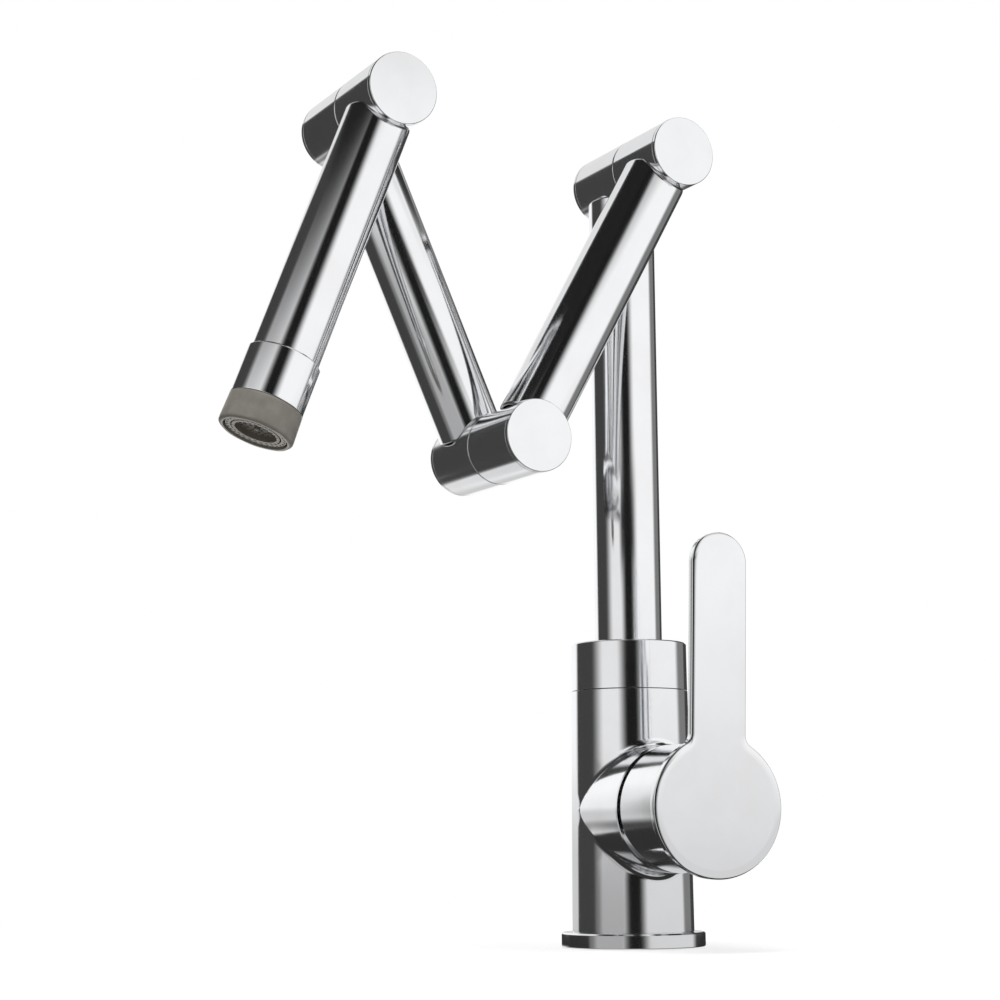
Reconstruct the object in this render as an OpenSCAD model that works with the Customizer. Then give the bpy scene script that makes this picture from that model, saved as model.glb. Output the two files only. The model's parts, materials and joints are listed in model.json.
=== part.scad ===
// Deck-mounted single-lever tap with a folding, three-elbow spout.
// Origin: centre of the base underside on the deck. +Z up, +X along the valve towards the handle.

/* [Base and body] */
// Radius of the base flange
flange_r = 29.5; // [27:0.5:34]
// Height of the base flange
flange_h = 5.8; // [4:0.2:8]
// Radius of the body just above the flange
body_r = 25; // [24:0.5:27]
// Radius of the body at the swivel seam
body_top_r = 24.2; // [23.5:0.1:25]
// Height of the swivel seam above the deck
seam_z = 104; // [98:1:120]
// Radius of the inlet foot that plugs into the body
foot_r = 21; // [20:0.5:22]
// Height of the inlet foot
foot_h = 16; // [12:1:22]
// Distance between the two fixing studs
stud_spacing = 28; // [26:1:30]
// Tapping radius of the fixing studs
stud_hole_r = 3.4; // [2.6:0.1:4]
// Distance between the two hose inlets
inlet_spacing = 16; // [14:1:17]
// Tapping radius of the hose inlets
inlet_hole_r = 4.5; // [3.5:0.1:5]

/* [Valve branch] */
// Height of the valve axis above the deck
valve_z = 55; // [52:1:58]
// Radius of the branch where it leaves the body
branch_root_r = 24.4; // [23:0.1:24.5]
// Radius of the branch at its open end
branch_r = 25.3; // [25:0.1:27]
// Distance from the body axis to the open end of the branch
branch_x = 39.4; // [38.5:0.1:41]
// Distance from the body axis to the floor of the cartridge chamber
chamber_x = 6; // [5:0.5:7]
// Outer radius of the cartridge
cartridge_r = 17.5; // [17:0.5:18.5]
// Radius of the thread that the cartridge nut turns in
nut_r = 20; // [19.5:0.1:21]

/* [Handle] */
// Outer radius of the handle hub
hub_r = 25.3; // [24.5:0.1:27]
// Width of the groove between the branch and the hub
hub_groove = 3.6; // [3:0.1:5]
// Length of the hub from the groove to the back of the disc
hub_len = 31.2; // [29:0.2:36]
// Radius of the handle disc
disc_r = 27.3; // [26:0.1:30]
// Thickness of the disc and the lever
lever_t = 4; // [3:0.2:6]
// Width of the lever
lever_w = 23.4; // [16:0.2:28]
// Height of the lever tip above the valve axis
lever_h = 106; // [80:1:125]
// Radius of the fillets between the lever and the disc
lever_fillet = 5; // [1:0.5:6]
// Turn of the lever in the photographed pose, towards +Y
lever_rest = 1.8; // [-20:0.1:20]
// Largest lift of the lever
lift_max = 18; // [8:1:18]
// Side of the square stem
stem_w = 9; // [7:0.5:9.5]

/* [Swivel] */
// Height of the swivel collar
collar_h = 20; // [19:1:28]
// Radius of the collar at its top
collar_top_r = 24; // [23:0.1:24.5]
// Radius of the spigot that the collar turns on
spigot_r = 17; // [16:0.5:18]
// Turn of the column about the body axis in the photographed pose
swivel_rest = 6.8; // [-180:0.1:180]

/* [Tubes] */
// Outer radius of the riser tube
tube_r = 14; // [13:0.1:14.2]
// Outer radius of the arm tubes and the spout tube
arm_r = 13.3; // [12.5:0.1:13.5]
// Wall of the tubes
tube_wall = 1.4; // [1:0.1:2]
// Distance from an elbow axis to the square-cut end of a tube
tube_start = 9.3; // [8:0.1:11]
// Height of the riser elbow axis above the deck
riser_z = 324.5; // [260:1:420]
// Centre distance of the upper arm's elbows
upper_len = 144; // [110:1:220]
// Centre distance of the middle arm's elbows
middle_len = 144; // [110:1:220]
// Angle of the upper arm from straight down in the photographed pose
upper_angle = 29.2; // [15:0.1:90]
// Angle of the middle arm from straight up in the photographed pose
middle_angle = 24.1; // [0:0.1:60]
// Angle of the spout from straight down in the photographed pose
spout_angle = 21.2; // [0:0.1:60]

/* [Elbows] */
// Outer radius of the elbows
elbow_r = 14.5; // [14.4:0.1:16]
// Distance between the rear and front tube planes
plane_gap = 34; // [32:0.5:40]
// Distance from a tube plane to the outer end of an elbow
elbow_reach = 16; // [15.5:0.5:20]
// Thickness of the end cap discs
cap_t = 2; // [1.5:0.1:3]
// Outer radius of the elbow spindle
spindle_r = 8; // [7:0.1:8.5]
// Radius of the waterway in the spindle
spindle_bore_r = 5; // [3:0.1:5.2]

/* [Nozzle] */
// Distance from the spout elbow axis to the nozzle collar
nozzle_start = 116; // [90:1:160]
// Length of the nozzle collar
nozzle_len = 19; // [18:0.5:26]
// Outer radius of the nozzle collar
nozzle_r = 14.4; // [14.3:0.1:16]
// Length of the twist ring
ring_len = 12.6; // [12:0.2:18]
// Outer radius of the twist ring between its lobes
ring_r = 14.3; // [13.8:0.1:14.8]
// Rise of the grip lobes at the lower end of the twist ring
lobe_rise = 0.8; // [0.2:0.1:1.2]
// Number of grip lobes
lobe_count = 8; // [3:1:12]
// Number of spray holes round the stream outlet
spray_count = 30; // [16:2:32]

/* [Clearances] */
// Radial clearance of running fits
run_clear = 0.05; // [0.02:0.01:0.09]
// Clearance between fixed pieces that are pushed together
push_clear = 0.05; // [0.02:0.01:0.1]
// Gap between bodies that pass each other
pass_gap = 0.3; // [0.25:0.05:0.5]
// Small edge chamfer
edge = 0.4; // [0.2:0.1:0.6]
// Gap at the swivel seam
swivel_gap = 0.2; // [0.15:0.05:0.4]
// Edge chamfer on both sides of the swivel seam
seam_edge = 0.15; // [0.1:0.05:0.3]

/* [Hidden] */
$fn = 96;

chrome = [0.83, 0.85, 0.87];
brass = [0.80, 0.65, 0.36];
steel = [0.62, 0.64, 0.66];
rubber = [0.10, 0.10, 0.11];
nylon = [0.92, 0.91, 0.88];
ceramic = [0.96, 0.95, 0.92];
ring_grey = [0.49, 0.48, 0.45];
insert_brown = [0.23, 0.20, 0.17];

// O-rings: section radius, groove depth and groove width
o_ring_r = 0.6;
groove_d = 1.25;
groove_w = 1.9;

// Base
gasket_in_r = flange_r - 6.5;
gasket_out_r = flange_r - 2.5;
gasket_h = 1.5;

// Cartridge, stations along the valve axis
seal_squeeze = 0.05;
seal_h = 1.95;
base_x = chamber_x + pass_gap;
fixed_disc_x = chamber_x + 7;
disc_t = 4;
housing_x = fixed_disc_x + disc_t;
housing_len = 14;
shoulder_x = housing_x + housing_len;
nut_len = 5;
disc_bed_r = cartridge_r - 5.5;
moving_disc_r = disc_bed_r - 3.2;
moving_disc_x = housing_x + 0.1;
coupler_plate_t = 3;
coupler_w = 12;
coupler_h = 10;
port_ring_r = 7.5;
port_r = 2.9;
port_angles = [180, 60, 300];
rotor_r = disc_bed_r;
neck_wall = 1.4;
nut_slot_w = 3;
rotor_slot_h = 16;

// Handle, stations along the valve axis
pivot_x = branch_x + 2 * pass_gap;
hub_x = branch_x + hub_groove;
disc_x = hub_x + hub_len;
stem_arm = 10;
ball_r = 3.2;
rotor_back_x = pivot_x - 6.5;
rotor_reach = 7.4;
rotor_front_x = pivot_x + rotor_reach;
neck_end_x = rotor_front_x + pass_gap + 1.3;
lip_r = rotor_r - 1.8;
pin_r = 1.5;
dome_r = nut_r + 0.5;
dome_wall = 1.2;
dome_front = 14;
cavity_r = dome_r + 0.5;
stem_end_x = disc_x - 2.2;
socket_clear = 0.15;
grub_r = 2.5;
handle_grub_x = cavity_r + pivot_x + 5;
handle_grub_len = 10;

// Swivel
collar_z = seam_z + swivel_gap;
collar_top_z = seam_z + collar_h;
spigot_len = 9.4;
spigot_plug = 12;
spigot_plug_r = spigot_r - 1;
spigot_bore_r = 11;
stop_groove_z = seam_z + 4.8;
stop_groove_w = 2;
stop_groove_d = 1.2;
tube_seat_z = seam_z + spigot_len + 2.6;
nipple_len = collar_top_z - tube_seat_z;
slide_ring_in_r = spigot_r + 1.3;
slide_ring_out_r = spigot_r + 4.8;
slide_ring_sunk = 0.8;
outlet_x = -6;

// Tubes and elbows
tube_bore_r = tube_r - tube_wall;
nipple_r = tube_bore_r - push_clear;
barrel_end = elbow_reach - cap_t;
seam_s = plane_gap / 2;
chamber_r = 10;
chamber_end = 6;
spindle_flange_t = 3;
front_chamber_r = 10.5;
front_chamber_half = 6;
washer_t = 1.1;
washer_r = elbow_r - 1.5;
nut_pocket_s = plane_gap + barrel_end - 4;
nut_across = 17;
nut_t = 2;
spindle_thread_r = 5.5;
cap_skirt_r = elbow_r - 2;
cap_skirt_wall = 1.4;
port_to_tube_r = 6.5;
near_seal = 3.6;
far_seal = 8;
elbow_o_ring_s = [seam_s + near_seal, seam_s + far_seal, nut_pocket_s - 2];

// Positions of the three elbow axes in the column's own frame, as [y, z]
riser_elbow = [0, riser_z];
middle_elbow = riser_elbow + upper_len * [-sin(upper_angle), -cos(upper_angle)];
spout_elbow = middle_elbow + middle_len * [-sin(middle_angle), cos(middle_angle)];

// Nozzle, stations along the spout
nozzle_end = nozzle_start + nozzle_len;
tube_plug = 10;
nose_r = nozzle_r - 2;
nose_len = 8;
nose_bore_r = 10.5;
ring_start = nozzle_end + pass_gap + 0.1;
ring_end = nozzle_end + ring_len + 0.4;
ring_edge = 1.1;
retainer_t = 1.2;
retainer_at = nozzle_end + 5.7;
insert_r = nose_bore_r - push_clear;
insert_start = nozzle_end - 2;
insert_end = ring_end - 0.8;
insert_wall = 1.1;
insert_plate_t = 1.5;
insert_seat = nozzle_end + nose_len;
screen_t = 0.8;
screen_at = insert_start + 4;
screen_hole_r = 0.8;
chamber_wall_r = insert_r - insert_wall - 1;
spray_ring_r = nose_r - 1.1;
spray_r = 0.45;
plenum_w = 1;
cup_groove_r = spray_ring_r - 1.3;
cup_groove_w = 0.5;
cup_r = cup_groove_r - 1.7;
cup_depth = 2;
jet_r = 0.6;
jet_rings = [[6, 2.7], [12, 4.9], [18, 7.1]];

// Solid of revolution along +Z with a chamfer at each end
module rod(r, z0, z1, c0 = 0, c1 = 0) {
    rotate_extrude()
        polygon([[0, z0], [r - c0, z0], [r, z0 + c0], [r, z1 - c1], [r - c1, z1], [0, z1]]);
}

// Hollow turned piece along +Z with a chamfer at each outer edge
module sleeve(r, bore, z0, z1, c0 = 0, c1 = 0) {
    rotate_extrude()
        polygon([[bore, z0], [r - c0, z0], [r, z0 + c0], [r, z1 - c1], [r - c1, z1], [bore, z1]]);
}

// O-ring around +Z that lies flush in a groove of an outer radius r
module o_ring(r, z) {
    translate([0, 0, z])
        rotate_extrude()
            translate([r - o_ring_r - push_clear / 2, 0])
                circle(r = o_ring_r, $fn = 24);
}

// Groove for an o-ring in a shaft of radius r
module o_ring_groove(r, z) {
    sleeve(r + 1, r - groove_d, z - groove_w / 2, z + groove_w / 2);
}

// Turns +Z into +X
module along_x() {
    rotate([0, 90, 0]) children();
}

// Valve axis, with local +Z along +X
module on_valve() {
    translate([0, 0, valve_z]) along_x() children();
}

// Lever frame at the valve axis, turned to the photographed pose
module on_lever() {
    translate([0, 0, valve_z]) rotate([-lever_rest, 0, 0]) children();
}

module on_column() {
    rotate([0, 0, swivel_rest]) children();
}

module at_elbow(axis) {
    on_column() translate([0, axis[0], axis[1]]) children();
}

// Local +Z leaves the elbow at this angle from straight up, towards -Y
module toward(angle) {
    rotate([angle, 0, 0]) children();
}

// Base

module base_flange() {
    color(chrome) difference() {
        sleeve(flange_r, foot_r, 0, flange_h, 0.3, 0.6);
        translate([0, 0, -1]) sleeve(gasket_out_r, gasket_in_r, 0, gasket_h + 1);
    }
}

module base_gasket() {
    color(rubber)
        sleeve(gasket_out_r - push_clear, gasket_in_r + push_clear, 0, gasket_h - push_clear);
}

module inlet_foot() {
    color(brass) difference() {
        rod(foot_r - push_clear, 0, foot_h, edge, 0);
        for (side = [-1, 1]) {
            translate([side * stud_spacing / 2, 0, -1]) cylinder(r = stud_hole_r, h = foot_h - 1);
            translate([0, side * inlet_spacing / 2, -1]) cylinder(r = inlet_hole_r, h = foot_h + 2);
        }
    }
}

// Body with its side branch, waterways and cartridge chamber

module valve_ports(r, x0, x1) {
    for (a = port_angles)
        rotate([0, 0, a]) translate([port_ring_r, 0, x0]) cylinder(r = r, h = x1 - x0, $fn = 32);
}

module valve_body() {
    port_low_z = valve_z - port_ring_r * cos(port_angles[1]);
    port_high_z = valve_z + port_ring_r;
    color(chrome) difference() {
        union() {
            rotate_extrude() polygon([
                [0, flange_h], [body_r - edge, flange_h], [body_r, flange_h + edge],
                [body_top_r, seam_z - seam_edge], [body_top_r - seam_edge, seam_z], [0, seam_z]
            ]);
            on_valve() rotate_extrude() polygon([
                [0, 0], [branch_root_r, 0], [branch_r, branch_x - edge],
                [branch_r - edge, branch_x], [0, branch_x]
            ]);
        }
        translate([0, 0, flange_h - 1]) cylinder(r = foot_r, h = foot_h - flange_h + 1);
        on_valve() {
            translate([0, 0, chamber_x]) cylinder(r = cartridge_r, h = branch_x);
            translate([0, 0, shoulder_x]) cylinder(r = nut_r, h = branch_x);
            valve_ports(port_r, outlet_x, chamber_x + 1);
        }
        for (side = [-1, 1])
            translate([0, side * inlet_spacing / 2, foot_h - 1])
                cylinder(r = inlet_hole_r - 1, h = port_low_z - foot_h + 1);
        translate([outlet_x, 0, port_high_z]) cylinder(r = inlet_hole_r, h = seam_z - port_high_z);
        translate([0, 0, seam_z - spigot_plug - 2]) cylinder(r = spigot_plug_r, h = spigot_plug + 3);
        translate([0, 0, seam_z])
            sleeve(slide_ring_out_r + 0.1, slide_ring_in_r - 0.1, -slide_ring_sunk, 1);
    }
}

// Cartridge

module cartridge_base() {
    color(nylon) on_valve() difference() {
        rod(cartridge_r - push_clear, base_x, housing_x, edge, 0);
        translate([0, 0, fixed_disc_x]) cylinder(r = disc_bed_r + push_clear, h = disc_t + 1);
        valve_ports(port_r, base_x - 1, fixed_disc_x + 1);
        valve_ports(port_r + 1.6, base_x - 1, chamber_x + 2.1);
    }
}

module cartridge_port_seals() {
    color(rubber) on_valve() difference() {
        valve_ports(port_r + 1.5, chamber_x + seal_squeeze, chamber_x + seal_squeeze + seal_h);
        valve_ports(port_r + 0.3, chamber_x - 1, chamber_x + 3);
    }
}

module fixed_ceramic_disc() {
    color(ceramic) on_valve() difference() {
        rod(disc_bed_r, fixed_disc_x, housing_x);
        valve_ports(port_r - 0.2, fixed_disc_x - 1, housing_x + 1);
    }
}

module cartridge_housing() {
    neck_r = rotor_r + neck_wall;
    color(nylon) on_valve() rotate_extrude() polygon([
        [disc_bed_r + 0.5, housing_x], [cartridge_r - push_clear, housing_x],
        [cartridge_r - push_clear, shoulder_x], [neck_r, shoulder_x],
        [neck_r, neck_end_x - edge], [neck_r - edge, neck_end_x],
        [lip_r, neck_end_x], [lip_r, rotor_front_x + pass_gap],
        [rotor_r + run_clear, rotor_front_x + pass_gap],
        [rotor_r + run_clear, rotor_back_x - 0.5], [disc_bed_r + 0.5, rotor_back_x - 0.5]
    ]);
}

module cartridge_nut() {
    color(brass) on_valve() difference() {
        sleeve(nut_r - push_clear, rotor_r + neck_wall + 0.2, shoulder_x + push_clear,
            shoulder_x + nut_len, edge, edge);
        for (a = [0 : 90 : 270])
            rotate([0, 0, a]) translate([nut_r - nut_slot_w - 1, -nut_slot_w / 2, shoulder_x + nut_len - 2])
                cube([nut_slot_w + 2, nut_slot_w, nut_slot_w]);
    }
}

module bonnet_dome() {
    back = shoulder_x + nut_len + push_clear - pivot_x;
    color(chrome) translate([0, 0, valve_z]) translate([pivot_x, 0, 0]) difference() {
        union() {
            intersection() {
                sphere(r = dome_r);
                along_x() translate([0, 0, branch_x - pivot_x])
                    cylinder(r = dome_r + 1, h = dome_front - branch_x + pivot_x);
            }
            along_x() translate([0, 0, back])
                cylinder(r = nut_r - 0.2, h = branch_x - pivot_x - back + 0.1);
        }
        sphere(r = dome_r - dome_wall);
        along_x() translate([0, 0, back - 1]) cylinder(r = nut_r - 1.4, h = 3);
    }
}

// Parts that turn with the lever

module cartridge_rotor() {
    color(nylon) on_lever() difference() {
        along_x() rod(rotor_r, rotor_back_x, rotor_front_x, edge, edge);
        translate([rotor_back_x - 1, -stem_w / 2 - 0.2, -rotor_slot_h / 2])
            cube([rotor_front_x - rotor_back_x + 2, stem_w + 0.4, rotor_slot_h]);
        translate([pivot_x, 0, 0]) rotate([90, 0, 0])
            cylinder(r = pin_r + 0.02, h = 3 * rotor_r, center = true);
    }
}

module stem_pivot_pin() {
    color(steel) on_lever() translate([pivot_x, 0, 0]) rotate([90, 0, 0])
        cylinder(r = pin_r, h = 2 * rotor_r - 2, center = true);
}

module moving_ceramic_disc() {
    color(ceramic) on_lever() translate([0, 0, -1.6]) along_x() difference() {
        rod(moving_disc_r, moving_disc_x, moving_disc_x + disc_t - 0.1, 0, edge);
        translate([0, 0, moving_disc_x - 1]) cylinder(r = moving_disc_r - 3, h = 2.6);
    }
}

module disc_coupler() {
    x0 = moving_disc_x + disc_t - 0.1;
    ball_x = pivot_x - stem_arm;
    color(nylon) on_lever() difference() {
        union() {
            translate([0, 0, -1.6]) along_x() rod(moving_disc_r, x0, x0 + coupler_plate_t);
            translate([x0 + coupler_plate_t - 0.1, -coupler_w / 2, -coupler_h / 2])
                cube([rotor_back_x - 0.5 - x0 - coupler_plate_t + 0.1, coupler_w, coupler_h]);
        }
        translate([ball_x - ball_r - 0.8, -ball_r - 0.2, -ball_r - 0.4])
            cube([2 * stem_arm, 2 * ball_r + 0.4, 2 * ball_r + 0.8]);
    }
}

module lever_stem() {
    color(steel) on_lever() translate([pivot_x, 0, 0]) difference() {
        union() {
            translate([-4.6, -stem_w / 2, -stem_w / 2])
                cube([stem_end_x - pivot_x + 4.6, stem_w, stem_w]);
            along_x() translate([0, 0, -stem_arm]) cylinder(r = 2.5, h = stem_arm - 4, $fn = 48);
            translate([-stem_arm, 0, 0]) sphere(r = ball_r, $fn = 48);
        }
        rotate([90, 0, 0]) cylinder(r = pin_r + run_clear, h = 2 * stem_w, center = true);
    }
}

// Face outline of the handle: a disc with a round-ended lever and two small fillets
module handle_outline() {
    half_w = lever_w / 2;
    fillet_x = half_w + lever_fillet;
    fillet_y = sqrt(pow(disc_r + lever_fillet, 2) - pow(fillet_x, 2));
    touch = disc_r / (disc_r + lever_fillet);
    circle(r = disc_r);
    translate([0, lever_h - half_w]) circle(r = half_w);
    translate([-half_w, 0]) square([lever_w, lever_h - half_w]);
    difference() {
        polygon([
            [0, 0], [fillet_x * touch, fillet_y * touch], [fillet_x, fillet_y],
            [-fillet_x, fillet_y], [-fillet_x * touch, fillet_y * touch]
        ]);
        for (side = [-1, 1])
            translate([side * fillet_x, fillet_y]) circle(r = lever_fillet, $fn = 48);
    }
}

module lever_handle() {
    socket = stem_w + 2 * socket_clear;
    color(chrome) on_lever() difference() {
        union() {
            along_x() rod(hub_r, hub_x, disc_x + 0.5, 0.6, 0);
            translate([disc_x, 0, 0]) rotate([90, 0, 90])
                linear_extrude(height = lever_t) handle_outline();
        }
        translate([pivot_x, 0, 0]) {
            sphere(r = cavity_r);
            rotate([0, -lift_max, 0]) translate([-hub_r, 0, 0]) cube([2, 3, 4] * hub_r, center = true);
        }
        translate([pivot_x, -socket / 2, -socket / 2])
            cube([stem_end_x + socket_clear - pivot_x, socket, socket]);
        translate([handle_grub_x, 0, -hub_r - 1])
            cylinder(r = grub_r + push_clear, h = hub_r, $fn = 48);
    }
}

module handle_grub_screw() {
    top = -stem_w / 2 - push_clear;
    color(steel) on_lever() translate([handle_grub_x, 0, 0]) difference() {
        rod(grub_r, top - handle_grub_len, top, edge, edge);
        translate([0, 0, top - handle_grub_len - 1]) cylinder(r = 1.45, h = 3.5, $fn = 6);
    }
}

// Swivel

module swivel_spigot() {
    color(brass) difference() {
        rotate_extrude() polygon([
            [spigot_bore_r, seam_z - spigot_plug], [spigot_plug_r - push_clear, seam_z - spigot_plug],
            [spigot_plug_r - push_clear, seam_z], [spigot_r, seam_z],
            [spigot_r, seam_z + spigot_len - edge], [spigot_r - edge, seam_z + spigot_len],
            [spigot_bore_r, seam_z + spigot_len]
        ]);
        for (side = [-1, 1]) o_ring_groove(spigot_r, stop_groove_z + side * 2.8);
        sleeve(spigot_r + 1, spigot_r - stop_groove_d,
            stop_groove_z - stop_groove_w / 2, stop_groove_z + stop_groove_w / 2);
    }
}

module spigot_o_rings() {
    color(rubber) for (side = [-1, 1]) o_ring(spigot_r, stop_groove_z + side * 2.8);
}

module swivel_slide_ring() {
    color(nylon)
        sleeve(slide_ring_out_r, slide_ring_in_r, seam_z - slide_ring_sunk + push_clear, seam_z + swivel_gap / 2);
}

module swivel_collar() {
    bore = spigot_r + run_clear;
    seat = tube_r + push_clear;
    flange_z = seam_z + spigot_len + pass_gap;
    color(chrome) on_column() difference() {
        rotate_extrude() polygon([
            [bore, collar_z], [body_top_r - 0.1 - seam_edge, collar_z],
            [body_top_r - 0.1, collar_z + seam_edge],
            [collar_top_r, collar_top_z - 0.7], [collar_top_r - 0.7, collar_top_z],
            [seat, collar_top_z], [seat, tube_seat_z], [nipple_r, tube_seat_z],
            [nipple_r, tube_seat_z + nipple_len - edge], [nipple_r - edge, tube_seat_z + nipple_len],
            [spigot_bore_r - 1, tube_seat_z + nipple_len], [spigot_bore_r - 1, flange_z],
            [bore, flange_z]
        ]);
        translate([0, spigot_r - 1, stop_groove_z]) rotate([-90, 0, 0])
            cylinder(r = grub_r + push_clear, h = body_top_r, $fn = 48);
    }
}

module collar_grub_screw() {
    tip = spigot_r + 0.6;
    color(steel) on_column() translate([0, 0, stop_groove_z]) rotate([-90, 0, 0]) difference() {
        union() {
            rod(grub_r, tip, body_top_r - 0.8, edge, edge);
            translate([0, 0, spigot_r - 0.8]) cylinder(r = 0.75, h = 2, $fn = 32);
        }
        translate([0, 0, body_top_r - 3.6]) cylinder(r = 1.45, h = 4, $fn = 6);
    }
}

module riser_tube() {
    color(chrome) on_column() difference() {
        sleeve(tube_r, tube_bore_r, tube_seat_z + push_clear, riser_z - tube_start, 0, edge);
        translate([0, 0, riser_z]) along_x() cylinder(r = elbow_r, h = 3 * elbow_r, center = true);
    }
}

// Elbow pieces. Local +X is the elbow axis, 0 the rear tube plane, plane_gap the front one.

module elbow_rear(angle) {
    face = seam_s - pass_gap / 2;
    color(chrome) difference() {
        along_x() rod(elbow_r, -barrel_end, face, 0.2, edge);
        along_x() translate([0, 0, -barrel_end - 1]) cylinder(r = chamber_r, h = barrel_end + 1 + chamber_end);
        along_x() cylinder(r = spindle_r + push_clear, h = seam_s);
        toward(angle) cylinder(r = port_to_tube_r, h = 2 * elbow_r, $fn = 48);
    }
}

module elbow_front(angle) {
    face = seam_s + pass_gap / 2;
    color(chrome) difference() {
        along_x() rod(elbow_r, face, plane_gap + barrel_end, edge, 0.2);
        along_x() {
            translate([0, 0, face - 1]) cylinder(r = spindle_r + run_clear, h = plane_gap);
            translate([0, 0, face - 1]) cylinder(r = washer_r + 0.4, h = washer_t + 1);
            translate([0, 0, plane_gap - front_chamber_half])
                cylinder(r = front_chamber_r, h = 2 * front_chamber_half);
            translate([0, 0, nut_pocket_s]) cylinder(r = cap_skirt_r, h = elbow_reach);
        }
        translate([plane_gap, 0, 0]) toward(angle)
            cylinder(r = port_to_tube_r - 1.5, h = 2 * elbow_r, $fn = 48);
    }
}

module elbow_rear_cap() {
    color(chrome) mirror([1, 0, 0]) along_x() difference() {
        union() {
            rod(elbow_r, barrel_end, elbow_reach, 0.2, edge);
            rod(chamber_r - push_clear, barrel_end - 6, barrel_end + 0.1, edge, 0);
        }
        o_ring_groove(chamber_r, barrel_end - 3);
    }
}

module elbow_front_cap() {
    outer = plane_gap + elbow_reach;
    color(chrome) along_x() {
        rod(elbow_r, outer - cap_t, outer, 0.2, edge);
        sleeve(cap_skirt_r - push_clear, cap_skirt_r - cap_skirt_wall, nut_pocket_s + 0.6, outer - cap_t);
    }
}

module elbow_spindle() {
    back = chamber_end - spindle_flange_t;
    color(brass) along_x() difference() {
        union() {
            rod(chamber_r - 0.3, back, chamber_end, edge, 0);
            rod(spindle_r, back, nut_pocket_s);
            rod(spindle_thread_r, back, nut_pocket_s + 2.6, 0, edge);
        }
        translate([0, 0, back - 1]) cylinder(r = spindle_bore_r, h = plane_gap + front_chamber_half - back + 1);
        for (a = [0 : 90 : 270])
            translate([0, 0, plane_gap]) rotate([90, 0, a + 45]) cylinder(r = 2.4, h = 2 * spindle_r, $fn = 32);
        for (s = elbow_o_ring_s) o_ring_groove(spindle_r, s);
    }
}

module elbow_o_rings() {
    color(rubber) along_x() {
        for (s = elbow_o_ring_s) o_ring(spindle_r, s);
        o_ring(chamber_r, 3 - barrel_end);
    }
}

module elbow_washer() {
    color(nylon) along_x()
        sleeve(washer_r, spindle_r + 0.4, seam_s - pass_gap / 2, seam_s - pass_gap / 2 + washer_t);
}

module elbow_nut() {
    color(brass) along_x() translate([0, 0, nut_pocket_s + 0.2]) difference() {
        cylinder(r = nut_across / 2 / cos(30), h = nut_t, $fn = 6);
        translate([0, 0, -1]) cylinder(r = spindle_thread_r + push_clear, h = nut_t + 2);
    }
}

// Tube between two elbows, from the lower axis along +Z
module arm_tube(length) {
    color(chrome) difference() {
        sleeve(arm_r, arm_r - tube_wall, tube_start, length - tube_start, edge, edge);
        for (z = [0, length])
            translate([0, 0, z]) along_x() cylinder(r = elbow_r, h = 3 * elbow_r, center = true);
    }
}

module upper_arm_tube() {
    at_elbow(middle_elbow) translate([plane_gap, 0, 0]) toward(-upper_angle) arm_tube(upper_len);
}

module middle_arm_tube() {
    at_elbow(middle_elbow) toward(middle_angle) arm_tube(middle_len);
}

// Spout and nozzle, in a frame with +Z along the spout from its elbow axis

module on_spout() {
    at_elbow(spout_elbow) translate([plane_gap, 0, 0]) toward(180 - spout_angle) children();
}

module spout_tube() {
    color(chrome) on_spout() difference() {
        sleeve(arm_r, arm_r - tube_wall, tube_start, nozzle_start + tube_plug, edge, 0);
        along_x() cylinder(r = elbow_r, h = 3 * elbow_r, center = true);
    }
}

module nozzle_collar() {
    seat = arm_r + push_clear;
    seat_end = nozzle_start + tube_plug + push_clear;
    groove = nose_r - 0.6;
    color(chrome) on_spout() rotate_extrude() polygon([
        [seat, nozzle_start], [seat + 0.2, nozzle_start], [nozzle_r, nozzle_start + nozzle_r - seat - 0.2],
        [nozzle_r, nozzle_end - edge], [nozzle_r - edge, nozzle_end], [nose_r, nozzle_end],
        [nose_r, retainer_at - 0.1], [groove, retainer_at - 0.1],
        [groove, retainer_at + retainer_t + 0.1], [nose_r, retainer_at + retainer_t + 0.1],
        [nose_r, nozzle_end + nose_len], [nose_bore_r, nozzle_end + nose_len],
        [nose_bore_r, insert_start - 2], [nose_bore_r - 1.5, insert_start - 2],
        [nose_bore_r - 1.5, seat_end], [seat, seat_end]
    ]);
}

module nozzle_twist_ring() {
    lobe_reach = ring_r + lobe_rise;
    lobe_r = ring_r / 3;
    flare_end = ring_end - ring_edge - 1;
    color(ring_grey) on_spout() difference() {
        intersection() {
            translate([0, 0, ring_start]) linear_extrude(height = ring_end - ring_start) union() {
                circle(r = ring_r + lobe_rise / 4);
                for (i = [0 : lobe_count - 1])
                    rotate([0, 0, 360 * (i + 0.5) / lobe_count])
                        translate([lobe_reach - lobe_r, 0]) circle(r = lobe_r);
            }
            rotate_extrude() polygon([
                [0, ring_start], [ring_r - 0.2, ring_start], [ring_r, ring_start + 0.2],
                [ring_r + lobe_rise / 4, (ring_start + flare_end) / 2], [lobe_reach, flare_end],
                [lobe_reach, ring_end - ring_edge], [lobe_reach - ring_edge, ring_end], [0, ring_end]
            ]);
        }
        translate([0, 0, ring_start - 1]) cylinder(r = nose_r + run_clear, h = ring_len + 2);
        translate([0, 0, insert_seat]) cylinder(r = nose_r + pass_gap, h = ring_len);
        translate([0, 0, retainer_at]) cylinder(r = nose_r + 0.65, h = retainer_t + 0.2);
    }
}

module ring_retainer() {
    color(steel) on_spout() difference() {
        sleeve(nose_r + 0.5, nose_r - 0.5, retainer_at, retainer_at + retainer_t - 0.1);
        translate([0, -2, retainer_at - 1]) cube([nose_r + 2, 4, retainer_t + 2]);
    }
}

module flow_washer() {
    color(rubber) on_spout()
        sleeve(nose_bore_r - push_clear, 5.5, insert_start - 2 + push_clear, insert_start - push_clear);
}

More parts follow.
